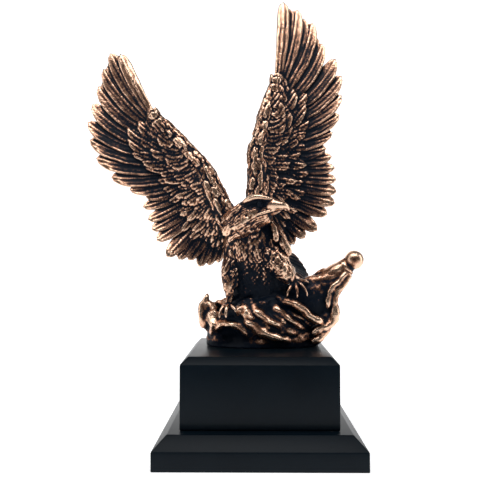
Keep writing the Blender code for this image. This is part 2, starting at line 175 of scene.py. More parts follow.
def add_lamp(name, place, width, height, power):
    """A soft rectangular lamp at place that points at the middle of the figure."""
    lamp_data = bpy.data.lights.new(name, "AREA")
    lamp_data.shape = "RECTANGLE"
    lamp_data.size = width
    lamp_data.size_y = height
    lamp_data.energy = power
    lamp = bpy.data.objects.new(name, lamp_data)
    lamp.location = place
    lamp.rotation_euler = (Vector(FIGURE_MIDDLE) - Vector(place)).to_track_quat("-Z", "Y").to_euler()
    bpy.context.scene.collection.objects.link(lamp)
    return lamp


add_lamp("top_lamp", (-0.04, -0.4, 0.95), 1.1, 0.45, 4.8)
add_lamp("left_lamp", (-0.75, -0.15, 0.35), 0.35, 0.9, 1.5)
add_lamp("right_lamp", (0.75, -0.05, 0.35), 0.3, 0.8, 1.5)

world = bpy.data.worlds.new("room")
world.use_nodes = True
world.node_tree.nodes["Background"].inputs["Color"].default_value = (0.9, 0.95, 1, 1)
world.node_tree.nodes["Background"].inputs["Strength"].default_value = 0.1
bpy.context.scene.world = world
bpy.context.scene.view_settings.view_transform = "Standard"
print("lamps", len(bpy.data.lights))

# %% [markdown]
# ## Smooth curves through a few stations
# A sculptor sets a form by a few sections and lets the clay run smoothly between them. A cubic through the
# stations does the same: a few named rows give each limb, fold and feather edge.

# %% Curves
def smooth(stations, t):
    """The value at t of a smooth curve through stations, whose rows are t and then the values there."""
    ts = [row[0] for row in stations]
    values = [Vector(row[1:]) if len(row) > 2 else row[1] for row in stations]
    last = len(ts) - 1
    k = 0
    while k < last - 1 and t > ts[k + 1]:
        k += 1

    def slope(i):
        low, high = max(i - 1, 0), min(i + 1, last)
        return (values[high] - values[low]) / (ts[high] - ts[low])

    span = ts[k + 1] - ts[k]
    s = (t - ts[k]) / span
    ends = values[k] * (2 * s**3 - 3 * s**2 + 1) + values[k + 1] * (3 * s**2 - 2 * s**3)
    return ends + slope(k) * (span * (s**3 - 2 * s**2 + s)) + slope(k + 1) * (span * (s**3 - s**2))


def spaced(points):
    """Rows for smooth() from 0 to 1 through points, spaced by their distances."""
    lengths = [0.0]
    for a, b in zip(points, points[1:]):
        lengths.append(lengths[-1] + (Vector(b[:3]) - Vector(a[:3])).length)
    return tuple((length / lengths[-1], *point) for length, point in zip(lengths, points))


def reach_of(points):
    """The length of the broken line through points."""
    return sum((Vector(b[:3]) - Vector(a[:3])).length for a, b in zip(points, points[1:]))


def rounded(s, start, end):
    """1 along the middle of a form, falling to 0 as a quarter circle over start and end at its ends."""
    share = 1.0
    if s < start:
        share *= math.sqrt(max(0.0, 1 - (1 - s / start) ** 2))
    if s > 1 - end:
        share *= math.sqrt(max(0.0, 1 - (1 - (1 - s) / end) ** 2))
    return share


print("half way between stations:", smooth(((0, 0.0), (1, 1.0), (2, 0.0)), 1.5))

# %% [markdown]
# ## One closed form
# Every part of the figure starts as a grid that is rolled into a tube, with both ends drawn to a point. Each
# point of the grid also remembers where it lies on its feather: how far from the shaft, how far from the edge
# and how far along. The fused skin loses that, so it is kept in layers and read back later for the relief.

# %% Shells with marks
SKIN, FLIGHT, COVERT, PLUME, SMOOTH, CLOTH, EYEBALL = range(7)
NO_EDGE = 50.0
WELD = 1e-4

MARKS = ("kind", "across", "edge", "along", "tip")
shells = []


def put_away(shell):
    """Weld a finished shell's seams and keep it as a mesh."""
    bmesh.ops.remove_doubles(shell, verts=shell.verts[:], dist=WELD)
    bmesh.ops.recalc_face_normals(shell, faces=shell.faces[:])
    data = bpy.data.meshes.new("shell")
    shell.to_mesh(data)
    shell.free()
    shells.append(data)


def add_shell(around, along, kind, place):
    """Add a closed tube to the figure. place(angle, share) gives a point and its marks."""
    shell = bmesh.new()
    layers = [shell.verts.layers.float.new(name) for name in MARKS]
    bmesh.ops.create_grid(shell, x_segments=around, y_segments=along, size=1)
    for vert in shell.verts:
        spot, *marks = place((vert.co.x + 1) * math.pi, (vert.co.y + 1) / 2)
        vert.co = spot
        for layer, mark in zip(layers, (kind, *marks)):
            vert[layer] = mark
    put_away(shell)


@lru_cache(maxsize=None)
def frame_at(rows, s):
    """A form's centre, two spokes across it and its half-widths at a share s of its length."""
    here = smooth(rows, s)
    ahead, behind = smooth(rows, min(s + 0.02, 1)), smooth(rows, max(s - 0.02, 0))
    tangent = (Vector(ahead[:3]) - Vector(behind[:3])).normalized()
    side = tangent.cross(Vector((0, 1, 0))).normalized()
    return Vector(here[:3]), side, tangent.cross(side), here[3], here[4]


def limb_point(rows, angle, s, h=0.0, size=1.0):
    """A point h off the skin of a form, at an angle round it and a share s of its length.

    The form's rows for smooth() hold x, y, z and its half-widths, in the picture plane and in depth.
    """
    centre, side, depth, wide, deep = frame_at(rows, round(s, 3))
    return centre + side * (wide * size + h) * math.cos(angle) + depth * (deep * size + h) * math.sin(angle)


def add_limb(points, kind=SKIN, around=24, along=30, start=0.12, end=0.12):
    """Add a rounded form through points: x, y, z, half-width in the picture plane, half-width in depth."""
    rows = spaced(points)
    reach = reach_of(points)

    def place(angle, s):
        spot = limb_point(rows, angle, s, 0, rounded(s, start, end))
        return spot, angle * max(frame_at(rows, round(s, 3))[3], 1), NO_EDGE, s * reach, NO_EDGE

    add_shell(around, along, kind, place)


def add_ball(centre, radius, kind):
    """Add a sphere to the figure."""
    shell = bmesh.new()
    layers = [shell.verts.layers.float.new(name) for name in MARKS]
    bmesh.ops.create_icosphere(shell, subdivisions=4, radius=radius)
    bmesh.ops.translate(shell, verts=shell.verts, vec=centre)
    for vert in shell.verts:
        for layer, mark in zip(layers, (kind, 0, NO_EDGE, 0, NO_EDGE)):
            vert[layer] = mark
    put_away(shell)


# %% [markdown]
# ## A feather
# A cast feather is a blunt leaf, thick enough for the mould: a raised shaft, a vane on each side that falls
# towards the edge, and a round tip. It lies on a surface, tilted so that each covers the next like a tile.

# %% Feathers
FEATHER_THICKNESS = 2.9
FEATHER_TILT = -0.2


def add_feather(place_on, root, tip, width, sag, lift, kind, thickness=FEATHER_THICKNESS, tilt=FEATHER_TILT,
                around=16, along=20):
    """Add a feather: a leaf with a blunt end on a curved shaft, laid on the surface place_on(u, v, h)."""
    root, run = Vector(root), Vector(tip) - Vector(root)
    across = Vector((run.y, -run.x)).normalized()
    blunt = min(1.25 * width / run.length, 0.45)

    def place(angle, s):
        shaft = root + run * s + across * (run.length * sag * 4 * s * (1 - s))
        half = width / 2 * (0.5 + 0.5 * min(s / 0.55, 1)) * rounded(s, 0.05, blunt)
        offset = math.cos(angle) * half
        bulge = math.copysign(abs(math.sin(angle)) ** 0.8, math.sin(angle)) * thickness / 2
        spot = shaft + across * offset
        point = place_on(spot.x, spot.y, lift - tilt * offset + bulge * rounded(s, 0.05, blunt / 2))
        to_tip = run.length * (1 - s)
        return point, offset, min(half - abs(offset), to_tip), run.length * s, to_tip

    add_shell(around, along, kind, place)


PLUME_SHIFT = 0.4
PLUME_SLIDE = 0.35
PLUME_UNEVEN = 0.35
PLUME_LEAN = 0.3
PLUME_SAG = 0.06


def add_plumage(points, courses, count, length, width, lift=0.6, kind=PLUME, thickness=2.4):
    """Lay short feathers on a form, in courses at the shares given, that hang towards its first point."""
    rows = spaced(points)
    reach = reach_of(points)
    for course, share in enumerate(courses):
        girth = max(smooth(rows, share)[3], 1)
        for number in range(count):
            uneven, shifted, slid = CHANCE.uniform(-1, 1, 3)
            middle = math.tau * (number + 0.5 * (course % 2) + PLUME_SHIFT * shifted) / count
            here = share + PLUME_SLIDE * length / reach * slid

            def place_on(u, v, h, here=here, middle=middle, girth=girth):
                return limb_point(rows, middle + u / girth, min(max(here - v / reach, 0), 1), h)

            half = length / 2 * (1 + PLUME_UNEVEN * uneven)
            tip = (PLUME_LEAN * width * shifted, half)
            add_feather(place_on, (0, -half), tip, width * (1 - PLUME_UNEVEN * uneven), PLUME_SAG * slid,
                        lift + PLUME_UNEVEN * slid, kind, thickness, 0, 12, 12)


# %% [markdown]
# ## The wings
# Each wing lies in a plane of its own that leans back and cups forward. Twenty-one flight feathers fan out
# from the arm, and rows of shorter coverts lie over their roots, smaller and higher towards the arm.

# %% A wing's surface and its feathers
FEATHERS = 21
FEATHER_ROOTS = ((0, 4, 86), (4, 3, 62), (8, 0, 41), (14, 2, 14), (20, 6, -8))
FEATHER_WIDTH = ((0, 9.5), (2, 12.5), (4, 13.5), (8, 14), (11, 10), (15, 12), (20, 10))
FEATHER_SAG = ((0, 0.02), (4, 0.10), (8, 0.05), (12, 0), (20, -0.04))
ARM = (
    (2, -24, 8, 8), (1, -4, 7.5, 8), (-1.2, 16, 7, 7), (-4, 32, 6.3, 6.3), (-2.6, 52, 5, 5), (-1, 70, 3.8, 4),
    (3.5, 97, 2.2, 2.3),
)
ALULAE = (((-3, 47), (-4.5, 71)), ((1, 70), (-1.2, 94)))
WING_LENGTH = 150.0
WING_CHORD = 50.0
WING_LEAN = 20.0
WING_CUP = 8.0

# Rows of coverts: reach as a share of the flight feather, lift, width share, step in number
FRONT_ROWS = ((0.60, 1.5, 0.74, 0.5), (0.47, 2.5, 0.76, 0.0), (0.34, 3.5, 0.8, 0.5), (0.21, 4.6, 0.85, 0.0))
BACK_ROWS = ((0.52, -2.0, 0.92, 0.5), (0.28, -3.4, 0.86, 0.0))

LEFT_WING = {
    "shoulder": (-23.4, 7, 92.4), "turn": math.radians(34.5), "side": -1,
    "tips": (
        (0, -2.5, 145), (1, 3.5, 151), (2, 14.5, 144.5), (3, 25, 135.5), (5, 46, 115), (7, 55, 87.5),
        (8, 53.5, 69),
        (9, 47.5, 54), (10, 41, 43), (11, 46.5, 38), (12, 48.5, 28), (14, 51.5, 12), (15, 52, -1.5),
        (16, 46.5, -7.5), (17, 41, -12), (18, 37.5, -20), (20, 25, -25),
    ),
}
RIGHT_WING = {
    "shoulder": (-1.6, 9, 102), "turn": math.radians(7.2), "side": 1,
    "tips": (
        (0, 1, 153.5), (1, 12, 150), (2, 24.5, 141), (3, 33.5, 125), (4, 44.5, 113), (5, 50, 99.5),
        (7, 51.5, 69.5),
        (9, 45, 44), (10, 49.5, 38), (12, 54.5, 21.5), (14, 55.5, 4.5), (15, 51, -4), (16, 45.5, -16),
        (18, 31, -27.5), (20, 25, -41),
    ),
}


def on_wing(wing, u, v, h):
    """The place of a point of a wing: u across the chord, v along the wing and h in front of its surface."""
    along = max(v, 0) / WING_LENGTH
    chord = min(max(u / WING_CHORD, 0), 1)
    back = WING_LEAN * along**1.6 + WING_CUP * 4 * chord * (1 - chord) * (1 - 0.5 * along)
    turn, side = wing["turn"], wing["side"]
    across = side * (u * math.cos(turn) + v * math.sin(turn))
    up = v * math.cos(turn) - u * math.sin(turn)
    return Vector(wing["shoulder"]) + Vector((across, back - h, up))


CHANCE = np.random.default_rng(11)
UNEVEN_REACH = 0.13
UNEVEN_WIDTH = 0.22
UNEVEN_SAG = 0.07
UNEVEN_LIFT = 0.7
UNEVEN_AIM = 2.2
COVERT_REACH = ((0, 0.3), (2, 0.42), (5, 0.9), (8, 1), (20, 1))
OUTER_FILLERS = (0.5, 1.5, 2.5)
FILLER_REACH = 0.965
FILLER_LIFT = -0.8
ARM_COURSES = [0.14 + 0.068 * number for number in range(12)]


def add_flight(wing, place, reach=1.0, lift=0.0):
    """Add one flight feather at a place counted from the leading edge."""
    root = smooth(FEATHER_ROOTS, place)
    tip = root + (smooth(wing["tips"], place) - root) * reach
    add_feather(lambda u, v, h: on_wing(wing, u, v, h), root, tip, smooth(FEATHER_WIDTH, place),
                smooth(FEATHER_SAG, place), lift, FLIGHT, around=20, along=34)


def add_coverts(wing, reach, lift, breadth, step):
    """Add one row of a wing's coverts, none quite like the next."""
    for number in range(FEATHERS - (1 if step else 0)):
        place = number + step
        longer, wider, bent, higher, turned = CHANCE.uniform(-1, 1, 5)
        root = smooth(FEATHER_ROOTS, place)
        share = reach * smooth(COVERT_REACH, place) * (1 + UNEVEN_REACH * longer)
        tip = root + (smooth(wing["tips"], place) - root) * share + Vector((0.5, -1)) * (UNEVEN_AIM * turned)
        width = smooth(FEATHER_WIDTH, place) * breadth * (1 + UNEVEN_WIDTH * wider)
        sag = smooth(FEATHER_SAG, place) + UNEVEN_SAG * bent
        higher = lift + UNEVEN_LIFT * higher
        add_feather(lambda u, v, h: on_wing(wing, u, v, h), root, tip, width, sag, higher, COVERT, around=14,
                    along=18)


def add_wing(wing):
    """Add one wing: feathers on both faces, the thumb feathers, and the arm along the leading edge."""
    for number in range(FEATHERS):
        add_flight(wing, number)
    for place in OUTER_FILLERS:
        add_flight(wing, place, FILLER_REACH, FILLER_LIFT)
    for row in (*FRONT_ROWS, *BACK_ROWS):
        add_coverts(wing, *row)
    for root, tip in ALULAE:
        add_feather(lambda u, v, h: on_wing(wing, u, v, h), root, tip, 5, 0.06, 1.2, COVERT)
    arm = [(*on_wing(wing, u, v, 0.5), r, d) for u, v, r, d in ARM]
    add_limb(arm, along=40, end=0.08)
    add_plumage(arm[::-1], ARM_COURSES, 8, 11, 4.8, 0.0, PLUME, 2.0)


for wing in (LEFT_WING, RIGHT_WING):
    add_wing(wing)
print("both wings:", len(shells), "forms")

# %% [markdown]
# ## Body, neck and head
# The head and neck come forward and to the right, with the ruff's long locks streaming back from the face.
# The chest has short ragged feathers, and the belly below is rough, with painted shade that darkens it.

# %% The body's forms
TORSO = (
    (0, 6, 25, 18, 12), (0, 5, 40, 20, 14), (-0.5, 4, 56, 21.5, 16), (-3, 2, 69, 22, 16), (-6, 2, 80, 18, 15),
    (-9, 4, 89, 11, 10),
)
NECK = (
    (-21, -3, 78.6, 8.4, 10), (-14, -8, 83.6, 10.4, 11), (-4, -13, 90, 11, 10), (4, -16.5, 94.3, 9.6, 8.4),
    (9.5, -18, 95.4, 6.2, 5.6),
)
UPPER_BEAK = ((3, -18.4, 95.2, 4.2, 4.6), (8, -20.4, 95.6, 4.2, 4.8), (12.5, -21, 95.2, 3.6, 4.3),
              (16.4, -20.8, 94.9, 2.6, 3.2), (18.8, -20.2, 93.4, 1.5, 1.8), (18.9, -20, 91.2, 0.7, 0.8))
LOWER_BEAK = ((3, -17.5, 90.5, 3.4, 3.8), (9, -18.6, 91.3, 2.4, 2.7), (14.5, -19.2, 93, 1.3, 1.5))
GAPE = ((-3, -24.6, 88.2, 0.7, 0.8), (0.5, -24.4, 89.4, 1.0, 1.1), (6.5, -23.2, 91.2, 0.9, 1.0),
        (12, -21.9, 92.6, 0.8, 0.9), (16.8, -20.8, 93.4, 0.5, 0.6))
BROW = ((-11, -18, 97.4, 1.4, 2), (-7, -20.6, 99, 2.2, 2.6), (-2, -22.6, 100.2, 2.5, 2.8),
        (3, -22.8, 99.8, 2.1, 2.4),
        (8, -22.6, 98.8, 1.3, 1.8), (12, -22.2, 97.8, 0.6, 1))
EYE = (0.4, -23.6, 95.6)
EYE_RADIUS = 1.8
NECK_COURSES = (0.18, 0.34, 0.5)
TORSO_COURSES = (0.64, 0.82)
RIM_FEATHERS = (((12, -9, 81, 2.2, 2), (15.5, -9.5, 73, 3.2, 2.6), (19.2, -9.5, 65, 3.0, 2.4),
                 (20, -9, 61.5, 1.4, 1.6)),
                ((8, -11, 86, 1.2, 1.6), (10.5, -12.5, 79, 2.0, 2), (11.5, -12.5, 71, 1.8, 1.8)))


def add_body():
    """Add the torso, the neck with its ruff, and the head."""
    add_limb(TORSO, SKIN, 36, 40, 0.2, 0.2)
    add_limb(NECK, PLUME, 32, 36, 0.2, 0.2)
    add_plumage(NECK, NECK_COURSES, 9, 12, 6.4, -0.1)
    add_plumage(TORSO, TORSO_COURSES, 12, 12, 8, -0.2)
    for feather in RIM_FEATHERS:
        add_limb(feather, PLUME, 18, 24)
    add_limb(UPPER_BEAK, SMOOTH, 24, 30, 0.2, 0.06)
    add_limb(LOWER_BEAK, SMOOTH, 20, 20, 0.2, 0.1)
    add_limb(GAPE, SMOOTH, 12, 24, 0.1, 0.1)
    add_limb(BROW, SMOOTH, 18, 20)
    add_ball(EYE, EYE_RADIUS, EYEBALL)


add_body()

# %% [markdown]
# ## Legs, toes and tail
# The feathered thighs end in bare shanks, and four toes with hooked claws grip the flag at each side. The
# tail is a fan that hangs back and down to the right, behind the right leg.

# %% Legs and tail
LEFT_LEG = ((-14, 2, 62, 10, 9), (-18.8, -3, 52, 7.5, 7.5), (-20, -7, 42, 4.8, 5), (-20.4, -9, 35, 2.6, 2.6),
            (-21, -11, 28, 2, 2))
RIGHT_LEG = ((4, -2, 66, 11, 10), (12, -8, 57, 8.5, 8), (19.5, -11, 48.5, 5.6, 5.6),
             (23.5, -12, 44, 2.8, 2.8))
LEFT_TOES = (
    ((-21, -10, 29), (-24.5, -14, 27.5), (-26.4, -16.5, 23), (-26, -17, 20)),
    ((-21, -10, 29), (-21.8, -15.5, 27.5), (-22.2, -18, 23.5), (-21.6, -18.4, 20)),
    ((-21, -10, 29), (-18, -13.5, 28), (-16.4, -15.5, 26.5), (-15.2, -16.5, 24)),
    ((-21, -8, 29.5), (-20.5, -4, 29), (-20, -1, 27), (-20, 0, 25)),
)
RIGHT_TOES = (
    ((23.5, -12, 44.5), (28, -14.5, 42.5), (31, -15.5, 38.5), (32, -15.6, 34.5)),
    ((23.5, -12, 44.5), (24.5, -16.5, 41.5), (25, -18.5, 37.5), (25, -18.6, 34)),
    ((23.5, -12, 44.5), (20.8, -15.5, 41), (19, -17, 38), (18.3, -17, 34.5)),
    ((23.5, -12, 44.5), (28, -9, 45.5), (32, -8, 45), (34, -8, 43.6)),
)
TOE_RADIUS = 1.6
TOE_TAPER = 0.72
LEG_COURSES = (0.2, 0.42)

TAIL_ROOT = (6, 14, 66)
TAIL_TIP = (39, 48, 48.5)
TAIL_FEATHERS = 7
TAIL_SPREAD = 12.0
TAIL_ACROSS = (0.35, -0.45, -0.82)
TAIL_ROOT_SHARE = 0.3
TAIL_ROUNDING = 0.12
TAIL_CROWN = 0.9


def add_legs():
    """Add both feathered legs and their toes."""
    for leg in (LEFT_LEG, RIGHT_LEG):
        add_limb(leg, SKIN, 22, 28)
        add_plumage(leg[::-1], [1 - share for share in LEG_COURSES], 7, 9, 4.6, -0.1, PLUME, 1.6)
    for toe in (*LEFT_TOES, *RIGHT_TOES):
        last = len(toe) - 1
        sizes = [TOE_RADIUS * (1 - TOE_TAPER * i / last) for i in range(last + 1)]
        add_limb([(*point, size, size) for point, size in zip(toe, sizes)], SMOOTH, 14, 22)


def add_tail():
    """Add the tail: a fan of feathers from the rump, back and down to the right."""
    root, tip = Vector(TAIL_ROOT), Vector(TAIL_TIP)
    run = tip - root
    across = Vector(TAIL_ACROSS).normalized()
    normal = run.cross(across).normalized()

    def place_on(u, v, h):
        return root + run.normalized() * v + across * u + normal * h

    for number in range(TAIL_FEATHERS):
        share = number / (TAIL_FEATHERS - 1) * 2 - 1
        root_end = (TAIL_SPREAD * TAIL_ROOT_SHARE * share, 0)
        tip_end = (TAIL_SPREAD * share, run.length * (1 - TAIL_ROUNDING * share**2))
        lift = TAIL_CROWN * (1 - abs(share))
        add_feather(place_on, root_end, tip_end, 9, 0, lift, FLIGHT, 3, 0, 20, 26)


add_legs()
add_tail()
print("with body, legs and tail:", len(shells), "forms")

# %% [markdown]
# ## The furled flag
# The flag is gathered round a pole that rises to the right and ends in a ball. Its cloth lies in a crumpled
# mound with long folds that run down to the right, a hem that arches over a hollow at the left, and a rim
# that falls from the pole. Folds are round forms laid on the mound, so their crests and hollows fuse softly.

# %% The flag's forms
MOUND = (
    (0, 6, -3, 36, 20), (0, 6, 4, 37, 20), (3, 5, 11, 39, 19.5), (5, 5, 18, 41, 19), (5, 5, 25, 40, 17),
    (4, 6, 31, 31, 14), (3, 8, 36, 20, 9),
)
SLEEVE = (
    (10, 3, 14, 16, 12), (28, 2, 25, 19, 11), (40, 0, 36.5, 14.5, 9.5), (46.3, -1, 41.6, 10.2, 8),
    (54, -3, 49.4, 8.4, 6.5), (59.8, -4.4, 55.2, 5.8, 5.2), (63, -5, 57.8, 4.6, 4.4),
)
BALL = (64.9, -5.2, 59.4)
BALL_RADIUS = 6.6
COLLAR = ((58.8, -4.2, 53.6, 6.6, 5.8), (60.6, -4.6, 55.3, 6.4, 5.7))

# Ridges on the front of the flag: across, up and half-width; they lie on the mound
FRONT_FOLDS = (
    ((-15.5, 28.1, 2.2), (-10.4, 28.5, 3), (-2.4, 24.8, 2.9), (3.4, 20.5, 2.6), (10.7, 16.8, 2.4),
     (19.4, 11.7, 2.1),
     (28.2, 7, 1.6)),
    ((-11, 22.5, 2), (-7, 17.2, 2.6), (-1.7, 13.2, 2.6), (4.1, 10.3, 2.5), (10.7, 7.7, 2.4), (18.7, 6.3, 2.1),
     (25.2, 3.7, 1.5)),
    ((-4.4, 29.4, 1.8), (1.9, 29.9, 2.6), (9.2, 27.7, 2.6), (15.1, 23.4, 2.4), (20.9, 19, 2.2),
     (26.7, 15.4, 2),
     (32.5, 12.5, 1.5)),
    ((8.7, 33.6, 1.2), (15.1, 28.5, 1.8), (22.3, 23.4, 1.8), (28.2, 20.5, 1.8), (34, 16.1, 1.6),
     (40.5, 16.1, 1.2)),
    ((0.5, 15.4, 1.1), (9.2, 13.2, 1.6), (18.7, 9.5, 1.2)),
    ((-5, 22, 1), (2, 17.6, 1.4), (9, 14.6, 1.3)),
    ((4, 25.5, 1.1), (12, 21, 1.6), (20, 15.5, 1.5), (27, 11, 1.2)),
    ((-34, 8, 2), (-28.8, 13, 2.5), (-23.4, 15.6, 2.8), (-19, 15.6, 2.9), (-14.7, 13.8, 2.6), (-9.2, 10, 2.3),
     (-3.8, 4.9, 1.8)),
    ((-36.2, 32, 1.2), (-31.5, 25, 1.9), (-26.6, 18.2, 1.6)),
    ((-36.4, 32, 1.4), (-36.4, 24, 1.9), (-35.6, 15, 2), (-33.2, 8.9, 1.8)),
    ((-30, 31, 1), (-22, 28, 1.4), (-16, 24, 1.2)),
)
BULB = ((-17.5, 24.6, 1.2), (-14.6, 25, 3.9), (-9.6, 24, 4.4), (-4.6, 20.4, 3), (-1, 17, 1.2))
LEAF = ((-36.6, 31, 0.8), (-34.2, 25, 2.6), (-31.6, 18.6, 4.6), (-31.6, 12.4, 3.0), (-32.6, 9, 1))
BANDS = (
    ((-8, 24, 2), (-1, 20.5, 3), (6, 16.8, 3), (13, 13.6, 2.6), (20, 10, 1.6)),
    ((4, 30, 1.6), (12, 28.3, 2.4), (19, 24, 2.6), (27, 19.5, 2.3), (33, 16, 1.5)),
    ((16, 35, 1.6), (22, 32.5, 2.4), (29, 29.5, 2.2), (35, 25, 1.4)),
)

# How each sort of ridge is shaped: spread, rise, sharpness of its crest, and how far it is lifted
FOLD_SHAPE = (1.75, 1.7, 1.8, 0.4)
BULB_SHAPE = (1.05, 0.8, 1, 2.2)
LEAF_SHAPE = (1.15, 0.4, 1, 4.2)
BAND_SHAPE = (1.4, 0.6, 1, 0.9)
SWELL = 0.25
RIPPLE = 0.16

# Folds that stand free of the mound: centre and half-width
FREE_FOLDS = (
    ((11, -10, 35, 1.8), (16, -13, 32.2, 2.4), (23, -14, 30.3, 2.7), (29.2, -14, 26.4, 2.9),
     (35.5, -14, 20.4, 3),
     (43.5, -12, 18, 3)),
    ((62, -6, 52.4, 2), (59.6, -7, 46, 2.4), (54.6, -8, 40, 2.6), (51, -8.5, 34.6, 2.8), (50.8, -8.5, 29, 3),
     (51.4, -8.5, 23.8, 3.3), (49.6, -9, 18.8, 3.5), (45.4, -10, 15.2, 3.3), (40, -11, 12.6, 3),
     (34.5, -12, 9.5, 2.4)),
    ((59.4, -8.5, 52, 1.5), (55, -9.5, 45.8, 1.9), (49.4, -10, 41, 2.1), (46.8, -10.5, 34, 2.1),
     (46, -11, 26, 1.6)),
    ((-36, 4, 12, 6), (-36.6, 3, 22, 5), (-36.8, 2, 30, 3), (-36.4, 2, 37, 0.9)),
    ((-37.4, 3, 33, 1.6), (-40, 1, 26, 2.5), (-39.6, 0, 19, 2.3), (-36.4, 0, 12, 2)),
    ((47.6, -6, 14, 2.4), (43.6, -8, 9.6, 3), (39.4, -9, 5.6, 3), (35, -9, 3, 2.6)),
    ((-33, 4, 27.5, 2), (-26, 5, 29.5, 2.4), (-18, 5, 32, 2.6), (-8, 7, 33.5, 2.4)),
    ((26, 3, 44, 2.4), (32, 2, 45.6, 2.2), (38, 1, 47.6, 2), (46, -1, 53.6, 1.8)),
    ((46, -3, 36, 4), (47, -3, 26, 4.6), (44, -4, 15, 6)),
    ((-33, 5, 25, 3), (-27, 6, 27, 3.4), (-19, 6, 29, 3.6)),
)
BACK_FOLDS = 6
BACK_START = -30
BACK_STEP = 12
BACK_LEAN = 10
BACK_HEIGHT = 30
BACK_HALF_WIDTH = 44


def mound_front(x, z):
    """How far back the mound's front face is, at x across and z up."""
    rows = [(row[2], row[0], row[1], row[3], row[4]) for row in MOUND]
    cx, cy, rx, ry = smooth(rows, min(max(z, rows[0][0]), rows[-1][0]))
    return cy - ry * math.sqrt(max(0.02, 1 - ((x - cx) / rx) ** 2))


def add_ridge(fold, spread, rise, sharpness, proud):
    """Lay a fold of cloth on the mound's front: a broad foot that rises to a crest, sharp or round."""
    rows = spaced([(x, mound_front(x, z) + 1.0, z, r * spread, r * rise + proud) for x, z, r in fold])
    start = fold[0][0]

    def place(angle, s):
        centre, side, depth, wide, deep = frame_at(rows, round(s, 3))
        share = rounded(s, 0.22, 0.25)
        crest = math.copysign(abs(math.sin(angle)) ** sharpness, math.sin(angle))
        swell = SWELL * math.sin(9 * s + start) + RIPPLE * math.sin(24 * s + 2 * start)
        wide, deep = wide * (1 - 0.8 * swell), deep * (1 + swell)
        spot = centre + (side * (wide * math.cos(angle)) + depth * (deep * crest)) * share
        return spot, 0, NO_EDGE, 0, NO_EDGE

    add_shell(24, 48, CLOTH, place)


def back_fold(x):
    """A plain fold that rises on the flag's back from x across, leaning a little."""
    points = []
    for t in (0, 0.33, 0.66, 1):
        here = x + BACK_LEAN * t
        behind = (24 - 7 * t**2) * math.sqrt(max(0.1, 1 - (here / BACK_HALF_WIDTH) ** 2))
        points.append((here, 6 + behind - 4, BACK_HEIGHT * t, 2.8, 3))
    return points


def add_flag():
    """Add the furled flag: its mound, the sleeve round the pole with its ball, and the folds."""
    add_limb(MOUND, CLOTH, 56, 34, 0.02, 0.12)
    add_limb(SLEEVE, CLOTH, 28, 34, 0.12, 0.04)
    add_limb(COLLAR, SMOOTH, 24, 8, 0.3, 0.3)
    add_ball(BALL, BALL_RADIUS, SMOOTH)
    for fold in FRONT_FOLDS:
        add_ridge(fold, *FOLD_SHAPE)
    add_ridge(BULB, *BULB_SHAPE)
    add_ridge(LEAF, *LEAF_SHAPE)
    for fold in BANDS:
        add_ridge(fold, *BAND_SHAPE)
    for fold in FREE_FOLDS:
        add_limb([(x, y, z, r, r * 1.15) for x, y, z, r in fold], CLOTH, 18, 44)
    for number in range(BACK_FOLDS):
        add_limb(back_fold(BACK_START + BACK_STEP * number), CLOTH, 16, 24)


add_flag()
print("with the flag:", len(shells), "forms")

# %% [markdown]
# ## Fusing the forms
# A sculptor smooths the joints of a wax before it is cast. The voxel Remesh modifier does the same: it reads
# the overlapping closed forms as one volume and lays a single even skin over them.

# %% Fuse
VOXEL = 0.42


def fused(forms, voxel):
    """One closed skin round a bmesh's overlapping closed forms, as a mesh."""
    data = bpy.data.meshes.new("forms")
    forms.to_mesh(data)
    holder = bpy.data.objects.new("forms", data)
    bpy.context.scene.collection.objects.link(holder)
    remesh = holder.modifiers.new("fuse", "REMESH")
    remesh.mode = "VOXEL"
    remesh.voxel_size = voxel
    remesh.adaptivity = 0
    skin = bpy.data.meshes.new_from_object(holder.evaluated_get(bpy.context.evaluated_depsgraph_get()))
    bpy.data.objects.remove(holder)
    return skin


figure = bmesh.new()
for shell in shells:
    figure.from_mesh(shell)
skin = fused(figure, VOXEL)
print("the fused skin has", len(skin.polygons), "faces")

# %% [markdown]
# ## Reading the marks back
# Each point of the skin lies on one of the forms. The nearest triangle of the forms gives its marks, weighted
# by where the point falls in that triangle.

# %% Marks on the skin
def read(mesh, attribute, width):
    """A mesh's coordinates or normals as a table with one row for each point."""
    values = np.empty(len(mesh.vertices) * width, np.float32)
    source = mesh.vertex_normals if attribute == "vector" else mesh.vertices
    source.foreach_get(attribute, values)
    return values.reshape(-1, width).astype(float)


def marks_on(mesh, forms):
    """The forms' marks at each point of a mesh, by name."""
    triangles = bmesh.ops.triangulate(forms, faces=forms.faces[:])["faces"]
    forms.verts.ensure_lookup_table()
    forms.faces.ensure_lookup_table()
    corners = np.array([[vert.index for vert in face.verts] for face in forms.faces])
    places = np.array([vert.co[:] for vert in forms.verts])
    tree = BVHTree.FromBMesh(forms)
    found = [tree.find_nearest(vert.co) for vert in mesh.vertices]
    face = np.array([hit[2] for hit in found])
    spot = np.array([hit[0][:] for hit in found])
    a, b, c = (places[corners[face, k]] for k in range(3))
    normal = np.cross(b - a, c - a)
    area = np.maximum((normal**2).sum(1), 1e-12)
    weight_b = (np.cross(spot - a, c - a) * normal).sum(1) / area
    weight_c = (np.cross(b - a, spot - a) * normal).sum(1) / area
    weights = np.clip(np.stack((1 - weight_b - weight_c, weight_b, weight_c)), 0, 1)
    marks = {}
    for name in MARKS:
        layer = forms.verts.layers.float[name]
        values = np.array([vert[layer] for vert in forms.verts])
        marks[name] = sum(weights[k] * values[corners[face, k]] for k in range(3)) / weights.sum(0)
    print("marks read from", len(triangles), "triangles")
    return marks


figure.verts.index_update()
marks = marks_on(skin, figure)
figure.free()

